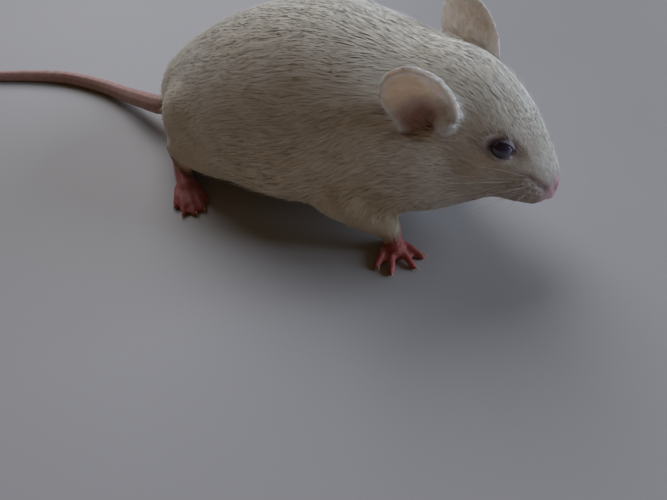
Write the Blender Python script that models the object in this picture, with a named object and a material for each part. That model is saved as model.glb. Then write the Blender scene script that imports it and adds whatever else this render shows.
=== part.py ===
"""White pet mouse: a still, life-size museum-type model, crouching on a level floor.

Frame: +X is the way the animal faces, +Y its left side, +Z up. All sizes are metres.
The finished model stands on the floor at z = 0, with the origin under the middle of its box.
The solids are drawn out to the tips of the coat. Flesh is modelled whole and parted by thin gaps.
"""
import bpy
import bmesh
import math
from mathutils import Matrix, Vector

MM = 0.001

# ---------------------------------------------------------------- driving dimensions
GAP = 0.3 * MM                  # clear space left between neighbouring pieces
HEAD_PITCH = math.radians(26)   # how far the head's axis points down
NOSE_TIP = Vector((74.0, -0.8, 12.0)) * MM
EYE_RADIUS = 1.75 * MM
EYE_BEHIND_NOSE = 11.1 * MM
EYE_OUT = 4.95 * MM
EYE_UP = 2.75 * MM
EAR_LENGTH = 11.2 * MM
EAR_HALF_WIDTH = 4.6 * MM
EAR_DEPTH = 1.9 * MM
EAR_THICKNESS = 0.9 * MM
EAR_CLEARING = 4.5 * MM         # how far the flesh stays clear in front of the ear's bowl
# The ears turn on their own. For the left (1) and right (-1): the root's place behind, out and up
# in millimetres; back, out and up along the ear; and ahead, out and up where its bowl faces.
EAR_ROOT = {1: (19.3, 8.4, 3.2), -1: (19.7, 8.6, 1.4)}
EAR_LEAN = {1: (0.88, 0.20, 0.44), -1: (0.77, 0.37, 0.52)}
EAR_FACING = {1: (0.36, 0.93, -0.07), -1: (0.29, 0.92, -0.27)}
EAR_WIDEST = 0.5                # widest level, as a share of the ear's length
EAR_ROOT_REACH = 0.70           # the shares of the length over which the outline would close,
EAR_TIP_REACH = 0.512           # below and above the widest level
LOBE_RISE = 1.7 * MM             # height of the lobe's middle over the floor of the bowl
LOBE_RADII = (1.6 * MM, 1.4 * MM, 1.7 * MM)
TAIL_ROOT_RADIUS = 2.05 * MM
TAIL_TIP_RADIUS = 0.65 * MM
FOREFOOT_SPAN = 7.2 * MM        # heel of the palm to the longest toe
HINDFOOT_LENGTH = 17.0 * MM
FORE_FOOT_AT = Vector((53.0, 11.9, 0.0)) * MM
HIND_HEEL_AT = Vector((8.0, 8.2, 0.0)) * MM
FORE_FOOT_TURN = math.radians(48)    # outward turn from straight ahead
HIND_FOOT_TURN = math.radians(44)
LEFT_FORE_STEP = 3.0 * MM       # the left forefoot stands this much further forward
FLESH_TRIANGLES = 2600
FOREFOOT_TRIANGLES = 300
HINDFOOT_TRIANGLES = 330

# In millimetres: ahead of the tail root, height of the widest level, half width there,
# rise from that level to the back, and drop from it to the belly.
TRUNK_SECTIONS = [
    (1.8, 8.6, 2.4, 3.0, 3.0),
    (3.4, 9.2, 4.8, 5.8, 4.4),
    (7.0, 10.0, 8.2, 8.6, 5.6),
    (12.5, 11.0, 12.0, 11.8, 6.8),
    (19.0, 11.8, 15.6, 15.0, 8.2),
    (27.0, 12.2, 18.0, 17.6, 9.0),
    (35.0, 12.6, 18.4, 19.0, 9.3),
    (43.0, 13.2, 16.8, 17.8, 9.2),
    (50.0, 13.6, 14.4, 16.0, 9.2),
    (56.0, 13.6, 12.0, 14.0, 8.8),
    (61.0, 13.8, 9.0, 9.6, 7.0),
    (65.0, 14.2, 6.2, 6.2, 5.6),
]
BELLY_BOXINESS = 0.68           # under 1 the belly sags out to the sides
# Behind the nose tip along the head's axis, then half width, top and bottom above the axis.
HEAD_SECTIONS = [
    (0.25, 1.5, 0.9, -1.9),
    (1.0, 2.5, 1.7, -3.2),
    (2.6, 3.8, 2.8, -5.0),
    (4.8, 5.0, 4.1, -6.3),
    (7.5, 5.9, 5.7, -7.3),
    (10.5, 6.8, 7.3, -7.8),
    (14.5, 7.8, 8.5, -8.4),
    (20.0, 8.7, 9.0, -9.0),
    (25.0, 9.2, 7.4, -9.6),
    (30.0, 9.0, 4.8, -9.0),
]

COLOURS = {
    "coat": ((0.80, 0.76, 0.68), 0.85),
    "ear": ((0.78, 0.60, 0.50), 0.6),
    "foot": ((0.72, 0.34, 0.30), 0.5),
    "nose": ((0.76, 0.46, 0.44), 0.4),
    "tail": ((0.66, 0.42, 0.38), 0.6),
    "eye": ((0.03, 0.02, 0.05), 0.1),
}


# ---------------------------------------------------------------- small tools
def clear_scene():
    for old in list(bpy.data.objects):
        bpy.data.objects.remove(old, do_unlink=True)


def material(slot):
    colour, roughness = COLOURS[slot]
    made = bpy.data.materials.get(slot) or bpy.data.materials.new(slot)
    made.use_nodes = True
    shader = made.node_tree.nodes["Principled BSDF"]
    shader.inputs["Base Color"].default_value = (*colour, 1.0)
    shader.inputs["Roughness"].default_value = roughness
    return made


def add_object(name, mesh):
    made = bpy.data.objects.new(name, mesh)
    bpy.context.collection.objects.link(made)
    return made


def from_bmesh(name, bm):
    bmesh.ops.recalc_face_normals(bm, faces=bm.faces)
    mesh = bpy.data.meshes.new(name)
    bm.to_mesh(mesh)
    bm.free()
    return add_object(name, mesh)


def apply_modifiers(thing):
    bpy.context.view_layer.update()
    evaluated = thing.evaluated_get(bpy.context.evaluated_depsgraph_get())
    mesh = bpy.data.meshes.new_from_object(evaluated)
    thing.modifiers.clear()
    thing.data = mesh


def face_outward(thing):
    bm = bmesh.new()
    bm.from_mesh(thing.data)
    bmesh.ops.recalc_face_normals(bm, faces=bm.faces)
    bm.to_mesh(thing.data)
    bm.free()


def copy_of(thing, name):
    return add_object(name, thing.data.copy())


def remove(*things):
    for thing in things:
        bpy.data.objects.remove(thing, do_unlink=True)


def smooth_curve(rows, steps):
    """Catmull-Rom through rows of numbers, with the given steps between each pair."""
    ends = [rows[0], *rows, rows[-1]]
    out = []
    for before, start, end, after in zip(ends, ends[1:], ends[2:], ends[3:]):
        for step in range(steps):
            t = step / steps
            out.append(tuple(
                0.5 * (2 * b + (c - a) * t + (2 * a - 5 * b + 4 * c - d) * t ** 2
                       + (3 * b - a - 3 * c + d) * t ** 3)
                for a, b, c, d in zip(before, start, end, after)))
    out.append(tuple(rows[-1]))
    return out


def loft(name, rings):
    """A closed skin over a list of rings, each with the same number of points."""
    bm = bmesh.new()
    loops = [[bm.verts.new(point) for point in ring] for ring in rings]
    sides = len(loops[0])
    for lower, upper in zip(loops, loops[1:]):
        for i in range(sides):
            j = (i + 1) % sides
            bm.faces.new((lower[i], lower[j], upper[j], upper[i]))
    bm.faces.new(loops[0])
    bm.faces.new(loops[-1])
    return from_bmesh(name, bm)


def tube(name, points, radii, sides=12, steps=4):
    """A round, tapering limb with domed ends, through the points."""
    rows = smooth_curve([(*point, radius) for point, radius in zip(points, radii)], steps)
    path = [Vector(row[:3]) for row in rows]
    sizes = [row[3] for row in rows]
    rings = []
    for i, centre in enumerate(path):
        along = (path[min(i + 1, len(path) - 1)] - path[max(i - 1, 0)]).normalized()
        across = along.cross(Vector((0.12, 0.08, 1.0))).normalized()
        up = across.cross(along)
        domes = [(0.0, 1.0)]
        if i == 0:
            domes = [(-0.92, 0.38), (-0.7, 0.72), (0.0, 1.0)]
        if i == len(path) - 1:
            domes = [(0.0, 1.0), (0.7, 0.72), (0.92, 0.38)]
        for shift, shrink in domes:
            middle = centre + along * shift * sizes[i]
            rings.append([
                middle + (across * math.cos(a) + up * math.sin(a)) * sizes[i] * shrink
                for a in (2 * math.pi * k / sides for k in range(sides))])
    return loft(name, rings)


def ellipsoid(name, centre, radii, pitch=0.0, sides=32):
    bm = bmesh.new()
    turn = Matrix.Rotation(pitch, 4, "Y")
    shape = Matrix.Translation(centre) @ turn @ Matrix.Diagonal((*radii, 1.0))
    bmesh.ops.create_uvsphere(bm, u_segments=sides, v_segments=sides // 2, radius=1.0, matrix=shape)
    return from_bmesh(name, bm)


def box(name, low, high):
    bm = bmesh.new()
    middle = (Vector(low) + Vector(high)) / 2
    size = Vector(high) - Vector(low)
    shape = Matrix.Translation(middle) @ Matrix.Diagonal((*size, 1.0))
    bmesh.ops.create_cube(bm, size=1.0, matrix=shape)
    return from_bmesh(name, bm)


def grown(thing, name, margin):
    """A copy pushed out along its normals."""
    made = copy_of(thing, name)
    bm = bmesh.new()
    bm.from_mesh(made.data)
    bm.normal_update()
    for vert in bm.verts:
        vert.co += vert.normal * margin
    bm.to_mesh(made.data)
    bm.free()
    return made


def cut(thing, tool, operation):
    modifier = thing.modifiers.new("cut", "BOOLEAN")
    modifier.operation = operation
    modifier.solver = "EXACT"
    modifier.object = tool
    apply_modifiers(thing)


def keep_largest(thing):
    """Drop the crumbs that a cut can leave beside the main body."""
    bm = bmesh.new()
    bm.from_mesh(thing.data)
    bmesh.ops.remove_doubles(bm, verts=bm.verts, dist=1e-7)
    unseen = set(bm.verts)
    islands = []
    while unseen:
        island = {unseen.pop()}
        edge = list(island)
        while edge:
            near = {link.other_vert(vert) for vert in edge for link in vert.link_edges}
            edge = list(near & unseen)
            unseen.difference_update(edge)
            island.update(edge)
        islands.append(island)
    islands.sort(key=len)
    for island in islands[:-1]:
        bmesh.ops.delete(bm, geom=list(island), context="VERTS")
    bm.to_mesh(thing.data)
    bm.free()


def part_off(whole, name, region):
    """Take the part of whole inside region away as its own piece, with the gap between them."""
    piece = copy_of(whole, name)
    cut(piece, region, "INTERSECT")
    keep_largest(piece)
    wider = grown(region, "wider", GAP)
    cut(whole, wider, "DIFFERENCE")
    keep_largest(whole)
    remove(wider, region)
    return piece


def fuse(name, pieces, voxel, rounds, triangles):
    """One smooth closed body out of overlapping forms, brought down to a number of triangles."""
    bm = bmesh.new()
    for piece in pieces:
        bm.from_mesh(piece.data)
    remove(*pieces)
    whole = from_bmesh(name, bm)
    remesh = whole.modifiers.new("remesh", "REMESH")
    remesh.mode = "VOXEL"
    remesh.voxel_size = voxel
    smooth = whole.modifiers.new("smooth", "SMOOTH")
    smooth.factor = 0.5
    smooth.iterations = rounds
    apply_modifiers(whole)
    count = sum(len(face.vertices) - 2 for face in whole.data.polygons)
    thin = whole.modifiers.new("thin", "DECIMATE")
    thin.ratio = triangles / count
    apply_modifiers(whole)
    keep_largest(whole)
    return whole


def flatten_sole(thing):
    """Cut the underside off level with the floor."""
    bm = bmesh.new()
    bm.from_mesh(thing.data)
    everything = bm.verts[:] + bm.edges[:] + bm.faces[:]
    cut_result = bmesh.ops.bisect_plane(
        bm, geom=everything, dist=1e-7, plane_co=(0, 0, 0), plane_no=(0, 0, -1), clear_outer=True)
    rim = [item for item in cut_result["geom_cut"] if isinstance(item, bmesh.types.BMEdge)]
    bmesh.ops.holes_fill(bm, edges=rim, sides=0)
    bmesh.ops.triangulate(bm, faces=[face for face in bm.faces if len(face.verts) > 4])
    bmesh.ops.recalc_face_normals(bm, faces=bm.faces)
    bm.to_mesh(thing.data)
    bm.free()
    keep_largest(thing)


def side_of(point, side):
    """A point given for the left side, on the left (side = 1) or the right (side = -1)."""
    return Vector((point[0], point[1] * side, point[2]))


# ---------------------------------------------------------------- the head's own frame
HEAD_AHEAD = Vector((math.cos(HEAD_PITCH), 0.0, -math.sin(HEAD_PITCH)))
HEAD_UP = Vector((math.sin(HEAD_PITCH), 0.0, math.cos(HEAD_PITCH)))
LEFT = Vector((0.0, 1.0, 0.0))


def on_head(behind, out, up, side=1):
    """Behind the nose tip, out to one side, and above the head's axis."""
    return NOSE_TIP - HEAD_AHEAD * behind + LEFT * out * side + HEAD_UP * up


# ---------------------------------------------------------------- flesh
def trunk_form():
    rows = smooth_curve([tuple(value * MM for value in row) for row in TRUNK_SECTIONS], 4)
    sides = 48
    rings = []
    for ahead, level, wide, rise, drop in rows:
        ring = []
        for k in range(sides):
            a = 2 * math.pi * k / sides
            out, up = math.cos(a), rise * math.sin(a)
            if up < 0:
                out = math.copysign(abs(out) ** BELLY_BOXINESS, out)
                up = -drop * abs(math.sin(a)) ** BELLY_BOXINESS
            ring.append(Vector((ahead, wide * out, level + up)))
        rings.append(ring)
    return loft("trunk_form", rings)


def head_form():
    rows = smooth_curve([tuple(value * MM for value in row) for row in HEAD_SECTIONS], 4)
    sides = 40
    rings = []
    for behind, wide, top, bottom in rows:
        ring = []
        for k in range(sides):
            a = 2 * math.pi * k / sides
            middle = (top + bottom) / 2
            ring.append(on_head(behind, wide * math.cos(a), middle + (top - bottom) / 2 * math.sin(a)))
        rings.append(ring)
    return loft("head_form", rings)


def muzzle_forms():
    """Whisker pads, cheeks and the small lower jaw."""
    forms = []
    for side in (1, -1):
        forms.append(ellipsoid("pad", on_head(3.2 * MM, 2.0 * MM, -1.9 * MM, side),
                               (2.9 * MM, 2.1 * MM, 2.4 * MM)))
        forms.append(ellipsoid("cheek", on_head(14.0 * MM, 4.2 * MM, -2.6 * MM, side),
                               (6.4 * MM, 4.0 * MM, 4.4 * MM)))
    forms.append(ellipsoid("jaw", on_head(6.0 * MM, 0.0, -3.6 * MM), (4.4 * MM, 2.7 * MM, 2.3 * MM)))
    return forms


def leg_forms(side):
    step = LEFT_FORE_STEP if side > 0 else 0.0
    wrist = side_of(FORE_FOOT_AT, side) + Vector((step - 0.8 * MM, 0.0, 4.0 * MM))
    elbow = side_of((44.0 * MM, 13.2 * MM, 8.6 * MM), side)
    shoulder = side_of((47.0 * MM, 7.5 * MM, 17.0 * MM), side)
    heel = side_of(HIND_HEEL_AT, side) + Vector((1.8, 1.8 * side, 4.6)) * MM
    knee = side_of((23.0 * MM, 12.6 * MM, 8.8 * MM), side)
    instep = heel.lerp(knee, 0.35)
    return [
        tube("upper_arm", [shoulder, elbow], [5.6 * MM, 4.2 * MM]),
        tube("forearm", [elbow, elbow.lerp(wrist, 0.55), wrist], [4.0 * MM, 3.2 * MM, 2.2 * MM]),
        ellipsoid("haunch", side_of((19.4 * MM, 8.3 * MM, 11.4 * MM), side),
                  (11.6 * MM, 7.4 * MM, 9.0 * MM), math.radians(-10)),
        tube("shank", [knee, instep, heel], [4.6 * MM, 3.6 * MM, 2.3 * MM]),
    ]


def flesh():
    pieces = [trunk_form(), head_form(), *muzzle_forms()]
    for side in (1, -1):
        pieces += leg_forms(side)
    return fuse("trunk", pieces, 0.6 * MM, 16, FLESH_TRIANGLES)


# ---------------------------------------------------------------- feet
def foot_forms(heel, turn, side, length, palm, toes, toe_radius, splay):
    """A bare foot: a palm along the ground and toes that arch down to the floor."""
    ahead = Vector((math.cos(turn), side * math.sin(turn), 0.0))
    across = Vector((-ahead.y, ahead.x, 0.0)) * side
    low = toe_radius * 0.55
    start, end, wide, high = palm
    forms = [tube("palm", [heel + ahead * start * length + Vector((0, 0, high * 0.62)),
                           heel + ahead * end * length + Vector((0, 0, high * 0.5))],
                  [wide * 0.8, wide])]
    for spread, reach in toes:
        root = heel + ahead * end * length + across * wide * spread * 1.1
        tip_way = (ahead + across * spread * splay).normalized()
        span = (reach - end) * length
        forms.append(tube("toe", [
            root - ahead * wide * 0.4 + Vector((0, 0, high * 0.6)),
            root + tip_way * span * 0.45 + Vector((0, 0, high * 0.6)),
            root + tip_way * span + Vector((0, 0, low)),
        ], [toe_radius * 1.05, toe_radius * 0.9, toe_radius * 0.85], sides=8))
    return forms


def forefoot(name, side, triangles):
    step = LEFT_FORE_STEP if side > 0 else 0.0
    heel = side_of(FORE_FOOT_AT, side) + Vector((step, 0.0, 0.0)) - Vector((0.8, 1.0 * side, 0)) * MM
    toes = [(-0.95, 0.80), (-0.3, 0.95), (0.35, 1.0), (0.95, 0.82)]
    forms = foot_forms(heel, FORE_FOOT_TURN, side, FOREFOOT_SPAN,
                       (0.1, 0.4, 1.8 * MM, 1.5 * MM), toes, 0.74 * MM, 0.95)
    wrist = heel + Vector((0.0, 0.0, 3.8 * MM))
    inner = heel + Vector((-2.2 * MM, side * 0.6 * MM, 5.6 * MM))
    palm_top = heel + Vector((1.0 * MM, side * 1.3 * MM, 1.4 * MM))
    forms.append(tube("wrist", [inner, wrist, palm_top], [1.5 * MM, 1.45 * MM, 1.5 * MM]))
    made = fuse(name, forms, 0.26 * MM, 3, triangles)
    flatten_sole(made)
    return made


def hindfoot(name, side, triangles):
    heel = side_of(HIND_HEEL_AT, side)
    toes = [(-0.8, 0.86), (-0.4, 0.97), (0.0, 1.0), (0.4, 0.97), (0.8, 0.84)]
    forms = foot_forms(heel, HIND_FOOT_TURN, side, HINDFOOT_LENGTH,
                       (0.05, 0.64, 1.75 * MM, 1.9 * MM), toes, 0.72 * MM, 0.42)
    ankle = heel + Vector((0.6 * MM, side * 0.6 * MM, 3.6 * MM))
    forms.append(tube("ankle", [ankle, heel + Vector((0.9, side * 0.9, 1.6)) * MM],
                      [1.7 * MM, 1.6 * MM]))
    made = fuse(name, forms, 0.3 * MM, 3, triangles)
    flatten_sole(made)
    return made


# ---------------------------------------------------------------- ears, eyes, tail
def leaf(side, margin=0.0):
    """Rows of points over the ear's bowl, from root to tip, and the way that the bowl faces."""
    behind, out, up = (value * MM for value in EAR_ROOT[side])
    base = on_head(behind, out, up, side)
    back, out, up = EAR_LEAN[side]
    along = (-HEAD_AHEAD * back + LEFT * side * out + HEAD_UP * up).normalized()
    facing = side_of(EAR_FACING[side], side)
    facing = (facing - along * facing.dot(along)).normalized()
    across = facing.cross(along).normalized() * -side
    rows = 7
    columns = 8
    grid = []
    for i in range(rows + 1):
        s = math.sin(math.pi / 2 * i / rows)
        reach = (s - EAR_WIDEST) / (EAR_ROOT_REACH if s < EAR_WIDEST else EAR_TIP_REACH)
        half = EAR_HALF_WIDTH * math.sqrt(max(0.0, 1.0 - reach * reach)) + margin
        length = EAR_LENGTH * s + margin * (2 * s - 1)
        line = []
        for j in range(columns + 1):
            t = 2.0 * j / columns - 1.0
            funnel = EAR_DEPTH * (1.4 - 1.3 * s * s) * (t * t - 1.0)
            line.append(base + along * length + across * half * t + facing * funnel)
        grid.append(line)
    return grid, facing


def sheet(bm, grid):
    """A patch of faces over rows of points."""
    lines = [[bm.verts.new(point) for point in line] for line in grid]
    for lower, upper in zip(lines, lines[1:]):
        for j in range(len(lower) - 1):
            bm.faces.new((lower[j], lower[j + 1], upper[j + 1], upper[j]))
    return lines


def rim_of(lines):
    """The points round the edge of a patch, in order."""
    inner = lines[1:-1]
    return (lines[0] + [line[-1] for line in inner] + lines[-1][::-1]
            + [line[0] for line in reversed(inner)])


def ear_leaf(name, side, margin=0.0):
    grid, _ = leaf(side, margin)
    bm = bmesh.new()
    sheet(bm, grid)
    made = from_bmesh(name, bm)
    solid = made.modifiers.new("thickness", "SOLIDIFY")
    solid.thickness = EAR_THICKNESS + 2 * margin
    solid.offset = 0.0
    solid.use_even_offset = False
    apply_modifiers(made)
    face_outward(made)
    return made


def ear_lobe(side, margin=0.0):
    grid, facing = leaf(side)
    front_of_root = (grid[0][2] + grid[0][3]) / 2
    radii = [radius + margin for radius in LOBE_RADII]
    return ellipsoid("lobe", front_of_root + facing * LOBE_RISE, radii, sides=12)


def ear(name, side):
    """A round, cupped leaf that leans back and out, with a lobe in front of its root."""
    made = ear_leaf(name, side)
    lobe = ear_lobe(side)
    cut(made, lobe, "UNION")
    remove(lobe)
    return made


def ear_clearing(side):
    """The space in front of the ear's bowl, which the flesh keeps out of."""
    grid, facing = leaf(side)
    bm = bmesh.new()
    back = rim_of(sheet(bm, grid))
    front = rim_of(sheet(bm, [[point + facing * EAR_CLEARING for point in line] for line in grid]))
    for i in range(len(back)):
        j = (i + 1) % len(back)
        bm.faces.new((back[i], back[j], front[j], front[i]))
    return from_bmesh("clearing", bm)


def make_room_for_ear(body, side):
    for tool in (ear_lobe(side, GAP), ear_clearing(side), ear_leaf("room", side, GAP)):
        cut(body, tool, "DIFFERENCE")
        remove(tool)
    keep_largest(body)


def eye(name, side):
    centre = on_head(EYE_BEHIND_NOSE, EYE_OUT, EYE_UP, side)
    return ellipsoid(name, centre, (EYE_RADIUS,) * 3, sides=12)


def tail_pieces():
    """The tail comes off the rump, comes down to the floor and lies along it."""
    bends = [(7.0, 0.0, 9.0), (0.0, -0.6, 5.3), (-7.0, 0.9, 3.7), (-14.0, 2.9, 2.2),
             (-22.5, 4.3, 0.0), (-32.0, 3.6, 0.0), (-41.0, 0.2, 0.0), (-50.0, -4.6, 0.0),
             (-59.0, -9.4, 0.0), (-68.0, -13.2, 0.0), (-76.0, -15.4, 0.0)]
    last = len(bends) - 1
    radii = [TAIL_ROOT_RADIUS + (TAIL_TIP_RADIUS - TAIL_ROOT_RADIUS) * (i / last) ** 1.1
             for i in range(last + 1)]
    points = [Vector((x, y, z)) * MM + Vector((0, 0, 0.0 if z else radius * 0.9))
              for (x, y, z), radius in zip(bends, radii)]
    whole = tube("tail_base", points, radii, sides=9, steps=3)
    flatten_sole(whole)
    pieces = [whole]
    limits = [("tail_tip", -61.0), ("tail_end", -41.0), ("tail_middle", -20.0)]
    for name, ahead in limits:
        region = box("region", (-0.2, -0.1, -0.1), (ahead * MM, 0.1, 0.1))
        pieces.append(part_off(whole, name, region))
    return pieces


# ---------------------------------------------------------------- parting the flesh
def part_flesh(body):
    """Cut the one body into the parts that a person would name."""
    pieces = {"trunk": body}
    for label, side in (("left", 1), ("right", -1)):
        step = LEFT_FORE_STEP if side > 0 else 0.0
        region = ellipsoid("region", side_of((13.0 * MM, 18.5 * MM, 8.6 * MM), side),
                           (15.5 * MM, 14.5 * MM, 13.5 * MM), sides=14)
        pieces["hindleg_" + label] = part_off(body, "hindleg_" + label, region)
        region = ellipsoid("region", side_of((48.0 * MM + step / 2, 16.5 * MM, 5.5 * MM), side),
                           (9.5 * MM, 11.0 * MM, 9.5 * MM), sides=14)
        pieces["foreleg_" + label] = part_off(body, "foreleg_" + label, region)
    pieces["head"] = head_off(body, "head", 23.5 * MM)
    pieces["neck"] = head_off(body, "neck", 30.5 * MM)
    pieces["nose"] = part_off(pieces["head"], "nose", ellipsoid(
        "region", on_head(-0.2 * MM, 0.0, -0.4 * MM), (2.0 * MM, 2.2 * MM, 1.8 * MM), sides=16))
    return pieces


def head_off(body, name, behind):
    """Part off all that lies ahead of a plane across the head's axis, above the forelegs."""
    size = 60 * MM
    turn = Matrix.Rotation(HEAD_PITCH, 4, "Y")
    middle = on_head(behind, 0.0, 0.0) + HEAD_AHEAD * size / 2
    bm = bmesh.new()
    bmesh.ops.create_cube(bm, size=size, matrix=Matrix.Translation(middle) @ turn)
    return part_off(body, name, from_bmesh("region", bm))


def clear_around(thing, other, margin=GAP):
    """Hollow thing out where other sits in it."""
    wider = grown(other, "wider", margin)
    cut(thing, wider, "DIFFERENCE")
    remove(wider)
    keep_largest(thing)


def finish_piece(thing, slot):
    thing.data.materials.clear()
    thing.data.materials.append(material(slot))
    thing.data.shade_smooth()
    thing.data.set_sharp_from_angle(angle=math.radians(50))


def main():
    clear_scene()
    body = flesh()
    ears = [ear("ear_left", 1), ear("ear_right", -1)]
    for side in (1, -1):
        make_room_for_ear(body, side)
    pieces = part_flesh(body)
    slots = {name: "coat" for name in pieces}
    slots["nose"] = "nose"
    for tail in tail_pieces():
        pieces[tail.name] = tail
        slots[tail.name] = "tail"
    for part in ("trunk", "hindleg_left", "hindleg_right"):
        clear_around(pieces[part], pieces["tail_base"])
    for label, side in (("left", 1), ("right", -1)):
        fore = forefoot("forefoot_" + label, side, FOREFOOT_TRIANGLES)
        hind = hindfoot("hindfoot_" + label, side, HINDFOOT_TRIANGLES)
        eye_made = eye("eye_" + label, side)
        clear_around(pieces["foreleg_" + label], fore)
        clear_around(pieces["trunk"], fore)
        clear_around(pieces["hindleg_" + label], hind)
        clear_around(pieces["trunk"], hind)
        clear_around(pieces["head"], eye_made, 0.2 * MM)
        pieces.update({fore.name: fore, hind.name: hind, eye_made.name: eye_made})
        slots.update({fore.name: "foot", hind.name: "foot", eye_made.name: "eye"})
    for made in ears:
        pieces[made.name] = made
        slots[made.name] = "ear"
    corners = [vert.co for thing in pieces.values() for vert in thing.data.vertices]
    middle = Vector([(min(c[i] for c in corners) + max(c[i] for c in corners)) / 2 for i in range(2)])
    lowest = min(c[2] for c in corners)
    for name, thing in pieces.items():
        thing.data.transform(Matrix.Translation((-middle.x, -middle.y, -lowest)))
        finish_piece(thing, slots[name])


main()
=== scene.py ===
"""White pet mouse, the looks: one skin, a coat of fine tufts, eyes, claws and whiskers.

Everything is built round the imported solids, in their frame: metres, +X ahead, +Y the animal's
left, +Z up, the floor at z = 0. The solids reach out to the tips of the coat, so the skin lies
inside them and the tufts fill the depth between.
"""

import math

import bmesh
import bpy
import numpy as np
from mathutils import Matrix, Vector
from mathutils.bvhtree import BVHTree
from mathutils.kdtree import KDTree


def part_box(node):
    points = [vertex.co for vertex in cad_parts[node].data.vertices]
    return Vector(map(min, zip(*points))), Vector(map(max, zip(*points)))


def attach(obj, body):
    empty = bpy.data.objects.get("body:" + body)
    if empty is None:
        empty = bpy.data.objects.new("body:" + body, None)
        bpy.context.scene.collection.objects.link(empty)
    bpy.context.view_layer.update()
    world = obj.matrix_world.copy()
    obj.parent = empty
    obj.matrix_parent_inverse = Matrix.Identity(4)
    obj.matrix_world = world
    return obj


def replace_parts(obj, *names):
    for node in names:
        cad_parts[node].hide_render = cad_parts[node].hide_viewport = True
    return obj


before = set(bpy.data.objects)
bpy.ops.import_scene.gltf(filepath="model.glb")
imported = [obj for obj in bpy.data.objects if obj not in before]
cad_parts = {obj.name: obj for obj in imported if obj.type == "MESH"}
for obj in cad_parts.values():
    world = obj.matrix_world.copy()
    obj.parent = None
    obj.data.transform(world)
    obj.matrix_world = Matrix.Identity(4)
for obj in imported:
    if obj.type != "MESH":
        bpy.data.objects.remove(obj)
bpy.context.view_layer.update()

MM = 0.001
SIDES = {"left": 1, "right": -1}
LEGS = [f"{leg}_{side}" for leg in ("foreleg", "hindleg") for side in SIDES]
FURRED = ["trunk", "neck", "head"] + LEGS
EARS = [f"ear_{side}" for side in SIDES]
FEET = [f"{foot}_{side}" for foot in ("forefoot", "hindfoot") for side in SIDES]
TAIL = ["tail_base", "tail_middle", "tail_end", "tail_tip"]
ZONES = FURRED + ["nose"] + EARS + FEET + TAIL
PARTS = {"legs": LEGS, "ears": EARS, "feet": FEET, "tail": TAIL, "furred": FURRED,
         "face": ["head", "nose"], "body": ["trunk", "neck"] + LEGS}

# ---- the head's own frame
HEAD_PITCH = math.radians(26)
AHEAD = np.array([math.cos(HEAD_PITCH), 0.0, -math.sin(HEAD_PITCH)])
UP = np.array([math.sin(HEAD_PITCH), 0.0, math.cos(HEAD_PITCH)])
LEFT = np.array([0.0, 1.0, 0.0])
EYE_BEHIND_NOSE = 11.1 * MM
EYE_ABOVE_NOSE = 2.75 * MM


def middle_of(name):
    low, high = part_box(name)
    return np.array((low + high) / 2)


EYE_CENTRE = {side: middle_of(f"eye_{side}") for side in SIDES}
EYE_RADIUS = (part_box("eye_right")[1].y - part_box("eye_right")[0].y) / 2
NOSE_TIP = (EYE_CENTRE["left"] + EYE_CENTRE["right"]) / 2 + AHEAD * EYE_BEHIND_NOSE - UP * EYE_ABOVE_NOSE
TRUNK_MIDDLE = middle_of("trunk")
TRUNK_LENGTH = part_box("trunk")[1].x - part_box("trunk")[0].x


def in_head(points):
    """How far points lie behind the nose tip, to the left of it, and above the head's axis."""
    reach = np.atleast_2d(points) - NOSE_TIP
    return -reach @ AHEAD, reach[:, 1], reach @ UP


def on_head(behind, out, up, side=1):
    """The place that many millimetres behind the nose tip, out to the side, and up."""
    return NOSE_TIP + (-AHEAD * behind + LEFT * out * side + UP * up) * MM


# ---- number tools
STEP_IN = 0.5
STEP_OUT = -0.52  # longer than the step in, so that nothing shrinks


def smoothstep(low, high, value):
    t = np.clip((value - low) / (high - low), 0.0, 1.0)
    return t * t * (3.0 - 2.0 * t)


def fade(low, high, value):
    """Smoothstep between two distances in millimetres."""
    return smoothstep(low * MM, high * MM, value)


def bell(distance, width):
    return np.exp(-(distance / width) ** 2)


def away(points, place):
    return np.linalg.norm(points - place, axis=1)


def spot(points, landmark, size, side=1):
    """1 at a landmark of the head, fading round it."""
    return bell(away(points, on_head(*landmark, side)), size * MM)


def unit(vectors):
    return vectors / np.maximum(np.linalg.norm(vectors, axis=-1, keepdims=True), 1e-12)


def flat_on(vectors, normals):
    """The vectors laid flat on the surface, at length 1."""
    along = np.sum(vectors * normals, axis=1, keepdims=True)
    return unit(vectors - normals * along)


def ripple(points, size, seed):
    """Smooth noise from about -1 to 1, with features of about that size."""
    draws = np.random.default_rng(seed)
    waves = 7
    total = np.zeros(len(points))
    for _ in range(waves):
        way = unit(draws.normal(size=3)) * 2 * math.pi / (size * draws.uniform(0.9, 2.0))
        total += np.sin(points @ way + draws.uniform(0, 6.3))
    return total / math.sqrt(waves)


def read(items, key, width, kind=np.float32):
    """A row of numbers for each vertex, edge or triangle."""
    out = np.empty(len(items) * width, kind)
    items.foreach_get(key, out)
    return out.reshape(-1, width)


def corners(mesh):
    return read(mesh.vertices, "co", 3).astype(float)


def normals_of(mesh):
    return read(mesh.vertex_normals, "vector", 3).astype(float)


def edges_of(mesh):
    return read(mesh.edges, "vertices", 2, np.int32)


def triangles_of(mesh):
    mesh.calc_loop_triangles()
    return read(mesh.loop_triangles, "vertices", 3, np.int32)


def move_to(mesh, points):
    mesh.vertices.foreach_set("co", points.astype(np.float32).ravel())
    mesh.update()


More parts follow.
